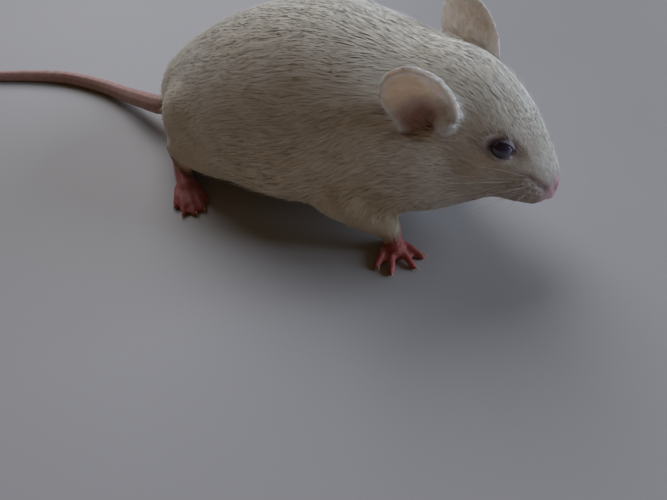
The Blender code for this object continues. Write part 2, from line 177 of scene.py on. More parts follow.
def relaxed(values, edges, rounds, strength=STEP_IN):
    """Values at the vertices of a mesh, evened out along its edges."""
    first, second = edges.T
    count = len(values)
    share = np.bincount(first, minlength=count) + np.bincount(second, minlength=count)
    values = values.copy()
    for _ in range(rounds):
        for k in range(values.shape[1]):
            column = values[:, k]
            around = np.bincount(first, column[second], count) + np.bincount(second, column[first], count)
            values[:, k] += (around / share - column) * strength
    return values


def smoothed(points, edges, rounds):
    """Points evened out, each step in followed by a step out."""
    for _ in range(rounds):
        points = relaxed(points, edges, 1)
        points = relaxed(points, edges, 1, STEP_OUT)
    return points


def nearest(tree, points):
    """The nearest places on the surface, the normals there, and the faces."""
    hits = [tree.find_nearest(Vector(point)) for point in points]
    return [np.array([hit[k] for hit in hits]) for k in range(3)]


def tree_of(mesh):
    points = [vert.co for vert in mesh.vertices]
    return BVHTree.FromPolygons(points, [face.vertices for face in mesh.polygons])


def store(mesh, name, values, kind="FLOAT"):
    made = mesh.attributes.new(name, kind, "POINT")
    key = "value" if kind == "FLOAT" else "color"
    made.data.foreach_set(key, values.astype(np.float32).ravel())


def store_colour(mesh, name, colour):
    store(mesh, name, np.insert(colour, 3, 1.0, axis=1), "FLOAT_COLOR")


def put(name, data):
    """A new object in the scene."""
    made = bpy.data.objects.new(name, data)
    bpy.context.scene.collection.objects.link(made)
    return made


def piece_of(name, mesh, look):
    """A piece of the model, with its material and slot."""
    made = put(name, mesh)
    mesh.materials.clear()
    mesh.materials.append(look)
    mesh.shade_smooth()
    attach(made, "root")
    return made


def mesh_from(bm, name):
    """A mesh from a working one, which is let go."""
    mesh = bpy.data.meshes.new(name)
    bm.to_mesh(mesh)
    bm.free()
    return mesh


def mesh_of(name, points, faces):
    """A mesh from arrays of points and triangles."""
    mesh = bpy.data.meshes.new(name)
    mesh.vertices.add(len(points))
    mesh.vertices.foreach_set("co", points.astype(np.float32).ravel())
    mesh.loops.add(faces.size)
    mesh.loops.foreach_set("vertex_index", faces.astype(np.int32).ravel())
    mesh.polygons.add(len(faces))
    mesh.polygons.foreach_set("loop_start", np.arange(0, faces.size, 3, dtype=np.int32))
    mesh.update(calc_edges=True)
    mesh.validate()
    return mesh


# ---- materials
BLOTCHED = (0.90, 0.86, 0.86)  # these four are shares of a tint's red, green and blue
# darker in the grooves of the tail's scale rings and in the toe creases: painted shade
RING_AND_CREASE_SHADE = (0.70, 0.62, 0.62)
CREAMIER = (0.97, 0.94, 0.88)
GREYER = (0.80, 0.76, 0.70)
EYE_TONES = (0.026, 0.018, 0.050, 1), (0.050, 0.034, 0.086, 1)
CLAW_TONES = (0.60, 0.38, 0.32, 1), (0.44, 0.22, 0.18, 1)
WHISKER_TONES = (0.66, 0.62, 0.58, 1), (0.34, 0.30, 0.28, 1)
FLOOR_TONES = (0.375, 0.365, 0.385, 1), (0.42, 0.41, 0.43, 1)
GLOW_REACH = (0.6 * MM, 3.2 * MM)  # of light, in thick skin and in the ears
GLOW_BY_COLOUR = (1.0, 0.6, 0.42)
BLOTCH_SIZE = 1.1 * MM
PORE_SIZE = 0.26 * MM
HAIR_SIZE = 0.16 * MM
HAIR_STRETCH = (0.25, 1, 1)
SKIN_RELIEF = 0.05 * MM
CLOUD_SIZE = 8 * MM


def material(name, **sockets):
    """A Principled material, its even values set on the shader's sockets."""
    made = bpy.data.materials.new(name)
    made.use_nodes = True
    tree = made.node_tree
    tree.nodes.clear()
    shader = tree.nodes.new("ShaderNodeBsdfPrincipled")
    output = tree.nodes.new("ShaderNodeOutputMaterial")
    tree.links.new(shader.outputs["BSDF"], output.inputs["Surface"])
    for socket, value in sockets.items():
        shader.inputs[socket.replace("_", " ")].default_value = value
    return made, tree, shader


def fill(tree, socket, value):
    """Gives an input a node's output, or a plain value."""
    if isinstance(value, bpy.types.NodeSocket):
        tree.links.new(value, socket)
    else:
        socket.default_value = value


def node(tree, kind, inputs=None, **settings):
    made = tree.nodes.new(kind)
    for key, value in settings.items():
        setattr(made, key, value)
    for key, value in (inputs or {}).items():
        fill(tree, made.inputs[key], value)
    return made


def attribute(tree, name, output):
    return node(tree, "ShaderNodeAttribute", attribute_name=name).outputs[output]


def times(tree, colour, factors):
    return node(tree, "ShaderNodeVectorMath", {0: colour, 1: factors}, operation="MULTIPLY").outputs["Vector"]


def noise(tree, size, detail=3.0, stretch=None):
    place = node(tree, "ShaderNodeTexCoord").outputs["Object"]
    if stretch:
        place = times(tree, place, stretch)
    made = node(tree, "ShaderNodeTexNoise", {"Vector": place, "Scale": 1.0 / size, "Detail": detail})
    return made.outputs["Fac"]


def ramp(tree, value, low, high):
    """0 where the value is low, 1 where it is high."""
    made = node(tree, "ShaderNodeMapRange", {"Value": value, "From Min": low, "From Max": high})
    return made.outputs["Result"]


def mixed(tree, factor, first, second):
    return node(tree, "ShaderNodeMix", {0: factor, 6: first, 7: second}, data_type="RGBA").outputs[2]


def paint(tree, shader, factor, first, second):
    """A base colour from first to second, by the factor."""
    tree.links.new(mixed(tree, factor, first, second), shader.inputs["Base Color"])


def sum_of(tree, *terms):
    """The sum of outputs, each times a plain number."""
    total = 0.0
    for output, share in terms:
        made = node(tree, "ShaderNodeMath", {0: output, 1: share, 2: total}, operation="MULTIPLY_ADD")
        total = made.outputs["Value"]
    return total


def skin_material():
    """Tint by part of the body, with blotches, pores, short fur and the tail's rings of scales; the rings'
    grooves and the toe creases are darkened as painted shade.
    """
    made, tree, shader = material("skin", Roughness=0.55, Subsurface_Weight=0.5, Sheen_Weight=0.15,
                                  Sheen_Roughness=0.5, Specular_IOR_Level=0.35)
    reach = node(tree, "ShaderNodeMapRange", {"Value": attribute(tree, "thin", "Fac"),
                                              "To Min": GLOW_REACH[0], "To Max": GLOW_REACH[1]})
    tree.links.new(reach.outputs["Result"], shader.inputs["Subsurface Scale"])
    shader.inputs["Subsurface Radius"].default_value = GLOW_BY_COLOUR
    tint = attribute(tree, "tint", "Color")
    rings = attribute(tree, "rings", "Fac")
    blotches = ramp(tree, noise(tree, BLOTCH_SIZE), 0.35, 0.65)
    patchy = mixed(tree, blotches, times(tree, tint, BLOTCHED), tint)
    # darker where the rings and creases sink in: painted shade
    paint(tree, shader, rings, patchy, times(tree, patchy, RING_AND_CREASE_SHADE))
    place = node(tree, "ShaderNodeTexCoord").outputs["Object"]
    pores = node(tree, "ShaderNodeTexVoronoi", {"Vector": place, "Scale": 1.0 / PORE_SIZE})
    hairs = noise(tree, HAIR_SIZE, 2.0, HAIR_STRETCH)
    height = sum_of(tree, (pores.outputs["Distance"], 0.3), (hairs, 0.6), (rings, -1.0))
    bump = node(tree, "ShaderNodeBump", {"Height": height, "Distance": SKIN_RELIEF, "Strength": 1.0})
    tree.links.new(bump.outputs["Normal"], shader.inputs["Normal"])
    return made


def coat_material():
    """White hair: each tuft has the tint of its place and a tone of its own."""
    made, tree, shader = material("coat", Roughness=0.7, Sheen_Weight=0.3, Sheen_Roughness=0.45,
                                  Specular_IOR_Level=0.25)
    tint = attribute(tree, "tint", "Color")
    clouds = ramp(tree, noise(tree, CLOUD_SIZE, 2.0), 0.3, 0.7)
    cream = mixed(tree, clouds, tint, times(tree, tint, CREAMIER))
    paint(tree, shader, attribute(tree, "tone", "Fac"), cream, times(tree, cream, GREYER))
    return made


def eye_material():
    made, tree, shader = material("eye", Roughness=0.22, Coat_Weight=0.7, Coat_Roughness=0.12)
    paint(tree, shader, ramp(tree, noise(tree, 1.5 * MM), 0.35, 0.65), *EYE_TONES)
    return made


def claw_material():
    made, tree, shader = material("claw", Roughness=0.3)
    paint(tree, shader, noise(tree, 0.5 * MM), *CLAW_TONES)
    return made


def whisker_material():
    made, tree, shader = material("whisker", Roughness=0.35)
    paint(tree, shader, noise(tree, 3 * MM), *WHISKER_TONES)
    return made


# ---- the ears' own frame
EAR_LENGTH = 11.2 * MM
EAR_HALF_WIDTH = 4.6 * MM
EAR_ROOT = {"left": (19.3, 8.4, 3.2), "right": (19.7, 8.6, 1.4)}  # behind, out, up
EAR_LEAN = {"left": (0.88, 0.20, 0.44), "right": (0.77, 0.37, 0.52)}  # back, out, up
EAR_FACING = {"left": (0.36, 0.93, -0.07), "right": (0.29, 0.92, -0.27)}  # +X, outward, +Z


def ear_axes(side):
    """Root, way to the tip, way that the bowl faces, and way to the hind edge."""
    sign = SIDES[side]
    back, out, up = EAR_LEAN[side]
    along = unit(-AHEAD * back + LEFT * sign * out + UP * up)
    facing = np.array(EAR_FACING[side]) * [1, sign, 1]
    facing = unit(facing - along * (facing @ along))
    return on_head(*EAR_ROOT[side], sign), along, facing, np.cross(facing, along) * -sign


def in_ear(points, side):
    """Share of the ear's length, share of its half width to the hind edge, and height in the bowl."""
    root, along, facing, hind = ear_axes(side)
    reach = points - root
    return reach @ along / EAR_LENGTH, reach @ hind / EAR_HALF_WIDTH, reach @ facing


def inside_ear(normals, side):
    return smoothstep(-0.05, 0.35, normals @ ear_axes(side)[2])


# ---- the skin
VOXEL = 0.2 * MM  # squares of the precise flesh
GRAIN = 0.53 * MM  # squares of the skin before any are halved
FLESH_SWELL = 0.22 * MM  # closes the gaps between solids, and is taken off again
BARE_SWELL = 0.16 * MM
TRUNK_DEPTH = 0.46 * MM  # depth of the coat
NECK_DEPTH = 0.34 * MM
HEAD_DEPTH = (0.07 * MM, 0.34 * MM)  # at the nose and behind the ears
LEG_DEPTH = (0.20 * MM, 0.35 * MM)  # at the foot, and what is added by the body
HEAD_REACH = 22 * MM  # level, from the nose tip back
FINE_FACE = {1: 10.0 * MM, 2: 5.6 * MM}  # where the squares are halved, once and twice
FINE_EYE = {1: 3.3 * MM, 2: 2.7 * MM}
FINE_MARGIN = 0.4 * MM
EYE_OPEN = (1.48 * MM, 0.90 * MM)  # half length and half height of the eye's opening
LID_ROLL = 0.11 * MM
LID_GAP = 0.06 * MM  # between the eyeball and the skin on it
SOCKET_DEPTH = 0.5 * MM  # of the skin under the eyeball
EAR_RIDGE = 0.12 * MM  # height of the ridges in the ear
EAR_THINNING = 0.08 * MM


def welded(name, swell):
    """A solid with its split corners joined, swollen a little."""
    bm = bmesh.new()
    bm.from_mesh(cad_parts[name].data)
    bmesh.ops.remove_doubles(bm, verts=bm.verts, dist=1e-6)
    bm.normal_update()
    for vert in bm.verts:
        vert.co += vert.normal * swell
    return bm


def flesh():
    """All the solids in one mesh, still passing through each other."""
    whole = bmesh.new()
    eyeballs = [f"eye_{side}" for side in SIDES]
    for name in ZONES + eyeballs:
        swell = FLESH_SWELL if name in FURRED + eyeballs else BARE_SWELL
        part = mesh_from(welded(name, swell), "part")
        whole.from_mesh(part)
        bpy.data.meshes.remove(part)
    return mesh_from(whole, "flesh")


def fused(mesh, size):
    """One closed body of even squares, with nothing left inside it."""
    thing = put("skin_maker", mesh)
    remesh = thing.modifiers.new("remesh", "REMESH")
    remesh.mode = "VOXEL"
    remesh.voxel_size = size
    bpy.context.view_layer.update()
    result = thing.evaluated_get(bpy.context.evaluated_depsgraph_get())
    made = bpy.data.meshes.new_from_object(result)
    bpy.data.objects.remove(thing)
    return outer_shell(made)


def outer_shell(mesh):
    """Keeps the largest island of the mesh."""
    first, second = edges_of(mesh).T
    label = np.arange(len(mesh.vertices))
    while np.any(label[first] != label[second]):
        low = np.minimum(label[first], label[second])
        np.minimum.at(label, first, low)
        np.minimum.at(label, second, low)
        label = label[label]
    kept = np.bincount(label).argmax()
    bm = bmesh.new()
    bm.from_mesh(mesh)
    inner = [vert for vert, mark in zip(bm.verts, label) if mark != kept]
    bmesh.ops.delete(bm, geom=inner, context="VERTS")
    bm.to_mesh(mesh)
    bm.free()
    return mesh


def finer(mesh, chosen):
    """Halves the squares whose corners are all chosen."""
    bm = bmesh.new()
    bm.from_mesh(mesh)
    picked = [edge for edge in bm.edges if chosen[edge.verts[0].index] and chosen[edge.verts[1].index]]
    bmesh.ops.subdivide_edges(bm, edges=picked, cuts=1, use_grid_fill=True)
    bmesh.ops.triangulate(bm, faces=[face for face in bm.faces if len(face.verts) > 4])
    bm.to_mesh(mesh)
    bm.free()
    mesh.update()
    return mesh


def needs_detail(points, level):
    """Level 1 takes in face, ears, feet and tail; level 2 only the eyes and the front of the face."""
    chosen = (in_head(points)[0] < FINE_FACE[level]) & (points[:, 2] > 1 * MM)
    chosen &= points[:, 0] > NOSE_TIP[0] - HEAD_REACH
    for side in SIDES:
        chosen |= away(points, EYE_CENTRE[side]) < FINE_EYE[level]
    if level == 2:
        return chosen
    for side in SIDES:
        share, across, height = in_ear(points, side)
        in_bowl = (np.abs(across) < 1.25) & (np.abs(height) < 3.4 * MM)
        chosen |= (share > -0.25) & (share < 1.1) & in_bowl
    for name in FEET + TAIL:
        low, high = (np.array(corner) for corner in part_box(name))
        chosen |= np.all((points > low - FINE_MARGIN) & (points < high + FINE_MARGIN), axis=1)
    return chosen


def zone_tree():
    """A search tree over all the solids, and the zone of each of its faces."""
    points, faces, zone = [], [], []
    for index, name in enumerate(ZONES):
        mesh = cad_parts[name].data
        start = len(points)
        points.extend(vert.co for vert in mesh.vertices)
        faces.extend([start + corner for corner in face.vertices] for face in mesh.polygons)
        zone.extend([index] * len(mesh.polygons))
    return BVHTree.FromPolygons(points, faces), np.array(zone)


def zone_weights(points, edges, rounds):
    tree, zone = zone_tree()
    return relaxed(np.eye(len(ZONES))[zone[nearest(tree, points)[2]]], edges, rounds)


def group(weights, part):
    """The share of a zone, or of several, at each point."""
    return weights[:, [ZONES.index(zone) for zone in PARTS.get(part, [part])]].sum(axis=1)


def by_part(weights, **amounts):
    """One amount for each part of the body, blended where the parts meet."""
    return sum(amount * group(weights, part) for part, amount in amounts.items())


def coat_depth(points, weights):
    """Depth of the coat: deepest on the trunk, next to nothing on the muzzle."""
    behind = in_head(points)[0]
    head = HEAD_DEPTH[0] + (HEAD_DEPTH[1] - HEAD_DEPTH[0]) * fade(2, 21, behind)
    trunk = TRUNK_DEPTH * (0.75 + 0.25 * fade(3, 12, points[:, 2]))
    legs = LEG_DEPTH[0] + LEG_DEPTH[1] * fade(4, 10, points[:, 2])
    depth = by_part(weights, trunk=trunk, neck=NECK_DEPTH, head=head, legs=legs)
    for centre in EYE_CENTRE.values():
        depth *= 1.0 - 0.75 * bell(away(points, centre), 3.0 * MM)
    return depth


def eye_axes(side):
    """Out of the eye, ahead along its slit, and up across it."""
    out = unit(LEFT * SIDES[side] * 0.90 + UP * 0.43 + AHEAD * 0.25)
    slit = AHEAD * 0.92 + UP * 0.30
    slit = unit(slit - out * (slit @ out))
    return out, slit, np.cross(slit, out) * SIDES[side]


def in_eye(points, side):
    """Place by the eye, 1 on the edge of its opening and more outside; height out; run along; rise."""
    out, slit, rise = eye_axes(side)
    reach = points - EYE_CENTRE[side]
    long = reach @ slit + 0.12 * MM
    high = reach @ rise
    front_corner = 1.0 + 0.26 * fade(0.5, 1.7, long)
    drop = high + 0.30 * fade(0.4, 2.2, long) * MM
    return np.hypot(long / (EYE_OPEN[0] * front_corner), drop / EYE_OPEN[1]), reach @ out, long, high


def with_lids(points):
    """Skin dips under the eyeball, and rolls over the opening's edge as lids."""
    for side in SIDES:
        spread, height, _, _ = in_eye(points, side)
        far = away(points, EYE_CENTRE[side])
        near = (far < 4.5 * MM) & (height > -0.2 * MM) & (spread < 2.3)
        way = unit(points - EYE_CENTRE[side])
        place = in_eye(EYE_CENTRE[side] + way * EYE_RADIUS, side)[0]
        roll = EYE_RADIUS + LID_ROLL * bell(place - 1.16, 0.20) + LID_GAP
        under = EYE_RADIUS - SOCKET_DEPTH
        wanted = under + (roll - under) * smoothstep(0.90, 1.04, place)
        share = smoothstep(1.25, 2.2, spread)
        target = wanted * (1 - share) + np.maximum(far, EYE_RADIUS + LID_GAP) * share
        points = np.where(near[:, None], EYE_CENTRE[side] + way * target[:, None], points)
    return points


# Landmarks: millimetres behind the nose tip, out to the side, and up.
NOSTRIL = (0.35, 0.85, -0.15)
NOSTRIL_DARK = (0.45, 0.95, -0.15)
NOSTRIL_WING = (0.9, 1.35, 0.15)
WHISKER_PAD = (4.0, 3.2, -1.9)
WHISKERS_MIDDLE = (4.2, 3.4, -0.9)
LOWER_LIP = (0.6, 0, -1.9)
CHEEK_SPOT = (13.2, 6.8, -0.6)
EAR_NOTCH = (20.6, 7.6, 0.2)
PAD_FOLD = [(6.6, -1.4), (6.75, -0.1), (6.4, 0.75), (5.4, 1.3), (3.8, 0.9), (2.0, 0.1)]  # behind, up
MUZZLE_RELIEF = ((NOSTRIL, -0.40 * MM, 0.30), (NOSTRIL_WING, -0.20 * MM, 0.28), (WHISKER_PAD, 0.22 * MM, 1.8))
WHISKER_ROWS = 4
WHISKER_COLUMNS = 5


def with_muzzle(points, normals):
    """Nostrils, the cleft under the nose, the line of the mouth and the puffed whisker pads."""
    behind, out, up = in_head(points)
    push = np.zeros(len(points))
    for side in SIDES.values():
        for landmark, height, size in MUZZLE_RELIEF:
            push += height * spot(points, landmark, size, side)
        push -= 0.16 * MM * whisker_spots(points, side)
        push -= 0.20 * MM * muzzle_arc(points, side)
    cleft = bell(out, 0.16 * MM) * fade(-0.5, -1.2, up) * fade(4.5, 2.5, behind)
    push -= 0.28 * MM * cleft
    push -= 0.40 * MM * mouth_line(behind, out, up)
    blunt = 0.95 * MM * spot(points, LOWER_LIP, 1.6)
    return points + normals * push[:, None] + AHEAD * blunt[:, None]


def mouth_line(behind, out, up):
    """1 along the mouth, which runs back from under the nose."""
    level = -3.5 * MM - 0.16 * np.maximum(behind - 1.5 * MM, 0) + 0.06 * np.abs(out)
    return bell(up - level, 0.2 * MM) * fade(0.8, 1.6, behind) * fade(7.4, 6.2, behind)


def whisker_roots(side):
    """The roots of the whiskers, in four rows over the pad."""
    return [on_head(2.2 + 0.95 * column + 0.22 * row, 3.4, 0.35 - 0.78 * row, side)
            for row in range(WHISKER_ROWS) for column in range(WHISKER_COLUMNS)]


def whisker_spots(points, side):
    """1 on each whisker's root."""
    out = np.zeros(len(points))
    near = away(points, on_head(*WHISKERS_MIDDLE, side)) < 4 * MM
    for root in whisker_roots(side):
        reach = points[near] - root
        out[near] += bell(np.hypot(reach @ AHEAD, reach @ UP), 0.17 * MM)
    return np.clip(out, 0, 1)


def muzzle_arc(points, side):
    """1 along the soft fold that rounds the top of the whisker pad."""
    behind, out, up = in_head(points)
    behind, up = behind / MM, up / MM
    far = np.full(len(points), 9.0)
    for (b0, u0), (b1, u1) in zip(PAD_FOLD, PAD_FOLD[1:]):
        run, rise = b1 - b0, u1 - u0
        t = np.clip(((behind - b0) * run + (up - u0) * rise) / (run * run + rise * rise), 0, 1)
        far = np.minimum(far, np.hypot(behind - b0 - run * t, up - u0 - rise * t))
    return bell(far, 0.45) * (out * side > 1.2 * MM)


def with_ear_folds(points, normals, weights):
    """The ear's wall thins, and low ridges run up the bowl from the root."""
    for side in SIDES:
        share, across, _ = in_ear(points, side)
        ridges = np.cos(across * 4.2 * math.pi / 2) * smoothstep(0.85, 0.35, share)
        ridges *= smoothstep(0.02, 0.2, share)
        push = EAR_RIDGE * ridges * inside_ear(normals, side) - EAR_THINNING
        points = points + normals * (push * group(weights, f"ear_{side}"))[:, None]
    return points


def along_tail(points):
    """How far along the tail's centre line each point lies."""
    solid = np.concatenate([corners(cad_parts[name].data) for name in TAIL])
    stations = np.linspace(solid[:, 0].max(), solid[:, 0].min(), 60)
    centres = []
    for high, low in zip(stations, stations[1:]):
        slab = solid[(solid[:, 0] >= low - 1 * MM) & (solid[:, 0] <= high + 1 * MM)]
        centres.append((slab.min(axis=0) + slab.max(axis=0)) / 2)
    centres = np.array(centres)
    run = np.concatenate([[0.0], np.cumsum(np.linalg.norm(np.diff(centres, axis=0), axis=1))])
    order = np.argsort(centres[:, 0])
    return np.interp(points[:, 0], centres[order, 0], run[order])


# ---- markings
HAIR = (0.86, 0.84, 0.81)
# cream of the lower body, partly the coat's own tone and partly painted warm shade
CREAM_AND_WARM_SHADE = (0.82, 0.73, 0.56)
HEAD_SKIN = (0.80, 0.74, 0.70)
MUZZLE = (0.60, 0.52, 0.54)
FOOT = (0.40, 0.095, 0.090)
TAIL_SKIN = (0.52, 0.31, 0.28)
NOSE = (0.50, 0.30, 0.35)
EAR_BACK = (0.90, 0.88, 0.87)
# pale peach bowl, partly its own colour and partly painted light shining through the thin ear
EAR_BOWL = (0.88, 0.76, 0.66)
# red skin deep in the bowl's root, darkened there as painted shade in the hollow
EAR_DEEP_RED_AND_SHADE = (0.44, 0.22, 0.17)
# painted shadow in the ear's notch and in the slit under the ear
EAR_SLIT_SHADOW = (0.16, 0.06, 0.05)
# painted shade along the fold over the whisker pad
PAD_CREASE_SHADE = (0.36, 0.28, 0.31)
WHISKER_SPOT = (0.26, 0.19, 0.22)
# painted shade inside the nostrils
NOSTRIL_SHADE = (0.18, 0.07, 0.09)
CHEEK_GREY = (0.30, 0.24, 0.24)
# painted shade in the groove of the mouth
MOUTH_SHADE = (0.30, 0.16, 0.18)
# painted shade round the eye in its socket
SOCKET_SHADE = (0.27, 0.22, 0.26)
# painted shade over the upper lid and its ridge
UPPER_LID_SHADE = (0.13, 0.10, 0.13)
LID_EDGE = (0.07, 0.04, 0.07)
DAMP = (0.34, 0.27, 0.33)
TOE_CREASE = 0.55 * MM  # from crease to crease
TAIL_RING = 0.62 * MM


def toe_folds(points, weights):
    """Soft creases across the feet and toes, whose darkening in the skin is painted shade."""
    folds = np.zeros(len(points))
    waver = 2.0 * ripple(points, 1.5 * MM, 6)
    for name in FEET:
        low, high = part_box(name)
        heel = np.array([low.x, (low.y + high.y) / 2, high.z])
        crease = 0.5 + 0.5 * np.cos(away(points, heel) * 2 * math.pi / TOE_CREASE + waver)
        folds += 0.55 * crease ** 3 * group(weights, name)
    return folds


class Tints:
    """Colours at points, laid one over another."""

    def __init__(self, count, base):
        self.colour = np.tile(np.array(base, float), (count, 1))

    def lay(self, tone, share):
        share = np.clip(share, 0, 1)[:, None]
        self.colour = self.colour * (1 - share) + np.array(tone) * share


def face_marks(tints, points, weights):
    """The greyer muzzle with its spots and painted shade along its fold, the pink nose, painted shade in the
    nostrils and along the mouth.
    """
    behind, out, up = in_head(points)
    head = group(weights, "face")
    tints.lay(MUZZLE, fade(8.5, 3.5, behind) * fade(2.8, 0.6, up) * head * 0.8)
    tints.lay(NOSE, fade(4.0, 2.4, away(points, on_head(0.4, 0, -1.2))) * head)
    for side in SIDES.values():
        # painted shade along the pad's fold
        tints.lay(PAD_CREASE_SHADE, muzzle_arc(points, side) * head * 0.55)
        tints.lay(WHISKER_SPOT, whisker_spots(points, side) * head * 0.7)
        # painted shade in each nostril
        tints.lay(NOSTRIL_SHADE, spot(points, NOSTRIL_DARK, 0.33, side))
        tints.lay(CHEEK_GREY, spot(points, CHEEK_SPOT, 0.5, side) * 0.8)
    # painted shade along the mouth's groove
    tints.lay(MOUTH_SHADE, mouth_line(behind, out, up) * head * 0.9)


def eye_marks(tints, points, side):
    """Dark rims, painted shade in the socket and over the upper lid, and the damp streak ahead of the front
    corner.
    """
    place, height, long, high = in_eye(points, side)
    near = (height > -0.3 * MM) * (away(points, EYE_CENTRE[side]) < 5.5 * MM)
    # painted shade in the socket
    tints.lay(SOCKET_SHADE, bell(place - 1.3, 0.60) * near * 0.88)
    # painted shade over the upper lid
    tints.lay(UPPER_LID_SHADE, bell(place - 1.45, 0.32) * fade(0.1, 0.7, high) * near * 0.8)
    tints.lay(LID_EDGE, smoothstep(1.42, 1.14, place) * near)
    streak = bell(high + 0.55 * (long - 1.2 * MM), 0.42 * MM) * fade(1.2, 1.9, long)
    tints.lay(DAMP, streak * fade(4.6, 2.2, long) * near * 0.75)


def ear_slit_shadow(points, side):
    """1 in the notch at the root of the bowl and along the slit that runs back under it, where shadow is
    painted.
    """
    behind, out, up = in_head(points)
    notch = spot(points, EAR_NOTCH, 0.80, SIDES[side])
    line = behind - EAR_NOTCH[0] * MM
    slit = bell(up + 0.8 * MM + 0.26 * line, 0.42 * MM)
    slit *= bell(out * SIDES[side] - 8.5 * MM - 0.61 * line, 1.0 * MM)
    slit *= fade(20.3, 21.0, behind) * fade(24.0, 23.0, behind)
    return np.maximum(notch, slit * 0.85)


def ear_marks(tints, points, normals, weights, side):
    """Peach in the bowl, partly painted light through the ear; red down in its root with painted shade in the
    hollow; painted shadow in the notch and the slit under the ear; pale on the back and along the rim.
    """
    ear = group(weights, f"ear_{side}")
    share, across, height = in_ear(points, side)
    hollow = inside_ear(normals, side) * ear
    tints.lay(EAR_BACK, ear)
    from_rim = 1 - np.hypot(across, (share - 0.5) * 1.9)
    # pale bowl: partly its own colour, partly painted light through the ear
    tints.lay(EAR_BOWL, hollow * smoothstep(0.02, 0.30, from_rim) * smoothstep(-0.6, -0.2, across))
    # red at the root of the bowl, darker down in the hollow as painted shade
    deep = smoothstep(0.56, 0.16, share) * smoothstep(-0.30, 0.20, across) * smoothstep(1.05, 0.70, across)
    tints.lay(EAR_DEEP_RED_AND_SHADE, hollow * deep * fade(1.2, -0.6, height) * 0.9)
    # painted shadow in the notch and the slit under the ear
    tints.lay(EAR_SLIT_SHADOW, ear_slit_shadow(points, side))


def markings(points, normals, weights):
    """The skin's colour at each point."""
    tints = Tints(len(points), HAIR)
    # Lower body creamier and darker towards the floor: partly the coat's own tone, partly painted warm shade
    tints.lay(CREAM_AND_WARM_SHADE, fade(24, 10, points[:, 2]) * group(weights, "body") * 0.8)
    tints.lay(HEAD_SKIN, group(weights, "head") * fade(16, 8, in_head(points)[0]) * 0.6)
    tints.lay(FOOT, group(weights, "feet"))
    tints.lay(TAIL_SKIN, group(weights, "tail"))
    face_marks(tints, points, weights)
    for side in SIDES:
        ear_marks(tints, points, normals, weights, side)
        eye_marks(tints, points, side)
    return tints.colour


def whole_body():
    """The flesh as one mesh, finer where detail is small, and each zone's share at its points."""
    raw = flesh()
    precise = fused(raw, VOXEL)
    move_to(precise, smoothed(corners(precise), edges_of(precise), 8))
    mesh = fused(raw, GRAIN)
    for level in (1, 2):
        mesh = finer(mesh, needs_detail(corners(mesh), level))
    edges = edges_of(mesh)
    points = relaxed(nearest(tree_of(precise), corners(mesh))[0], edges, 1)
    weights = zone_weights(points, edges, 5)
    furry = np.clip(group(weights, "furred") * 1.5 - 0.5, 0, 1)[:, None]
    points = points * (1 - furry) + relaxed(points, edges, 5) * furry
    move_to(mesh, points)
    return mesh, points, edges, weights


def skin():
    """The body drawn in to the roots of its coat, with its face and colours."""
    mesh, points, edges, weights = whole_body()
    normals = unit(relaxed(normals_of(mesh), edges, 4))
    furry = group(weights, "furred")
    swell = FLESH_SWELL * furry + BARE_SWELL * (1 - furry)
    depth = relaxed(coat_depth(points, weights)[:, None], edges, 8)[:, 0]
    points = with_lids(points - normals * (swell + depth)[:, None])
    points = with_ear_folds(with_muzzle(points, normals), normals, weights)
    points[:, 2] = np.maximum(points[:, 2], 0.0)
    move_to(mesh, points)
    normals = normals_of(mesh)
    store_colour(mesh, "tint", markings(points, normals, weights))
    ring = 0.5 + 0.5 * np.cos(along_tail(points) * 2 * math.pi / TAIL_RING)
    store(mesh, "rings", ring ** 3 * group(weights, "tail") + toe_folds(points, weights))
    store(mesh, "thin", group(weights, "ears"))
    mesh.name = "skin"
    body = piece_of("skin", mesh, skin_material())
    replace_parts(body, *ZONES)
    return body, weights


# ---- the coat
LIFT = 0.80  # height of a tuft's middle, as a share of its tip's
PATCH = 0.003  # size of a tuft's patch on the map
LENGTH_RANGE = (0.75, 1.2)  # by chance, as shares of the usual length
HEIGHT_RANGE = (0.25, 1.0)  # and of the coat's depth
BARE_DEPTH = 0.12 * MM  # of the thin coat on ears and feet
LOWEST = 0.12 * MM  # no tuft goes nearer to the floor
GUARD_SHARE = 0.02  # of tufts that stand out of the coat
TUFTS_PER_LOCK = 30
LOCK_PULL = 0.08  # towards the tuft at the lock's heart
LOCK_DROP = 0.12  # at the lock's edge, as a share of the height
TIPS_APART = 0.35  # in a lock, as a share of how far apart the roots are
MIDDLES_APART = 0.75
TONE_MIDDLE, TONE_CHANCE, TONE_DRIFT = 0.40, 0.16, 0.19
SOFTNESS = 0.85  # how much a tuft takes its shading from the skin under it


def fur_density(points, normals, weights):
    """Tufts per square millimetre."""
    behind, out, up = in_head(points)
    head = 22 + 18 * fade(18, 6, behind)
    density = by_part(weights, trunk=20, neck=20, head=head, legs=20)
    density += 8 * group(weights, "feet") * fade(2.4, 4.5, points[:, 2])
    for side in SIDES:
        ear = group(weights, f"ear_{side}")
        share, across, _ = in_ear(points, side)
        rim = smoothstep(0.72, 0.92, np.hypot(across, (share - 0.5) * 1.9))
        hollow = inside_ear(normals, side)
        density += ear * (12 * (1 - hollow) + 9 * hollow * rim)
        place, height, _, _ = in_eye(points, side)
        near = (height > -0.4 * MM) & (away(points, EYE_CENTRE[side]) < 4 * MM)
        density *= 1 - near * smoothstep(1.75, 1.45, place)
        density *= 1 - 0.55 * whisker_spots(points, SIDES[side])
        # fewer tufts where shadow is painted under the ear
        density *= 1 - 0.9 * np.clip(1.6 * ear_slit_shadow(points, side), 0, 1)
    density *= fade(1.9, 2.6, away(points, on_head(0.35, 0, -0.6)))
    density *= 1 - 0.8 * mouth_line(behind, out, up)
    return density * (1 - np.clip(group(weights, "nose") * 2, 0, 1) * fade(3.2, 2.2, behind))


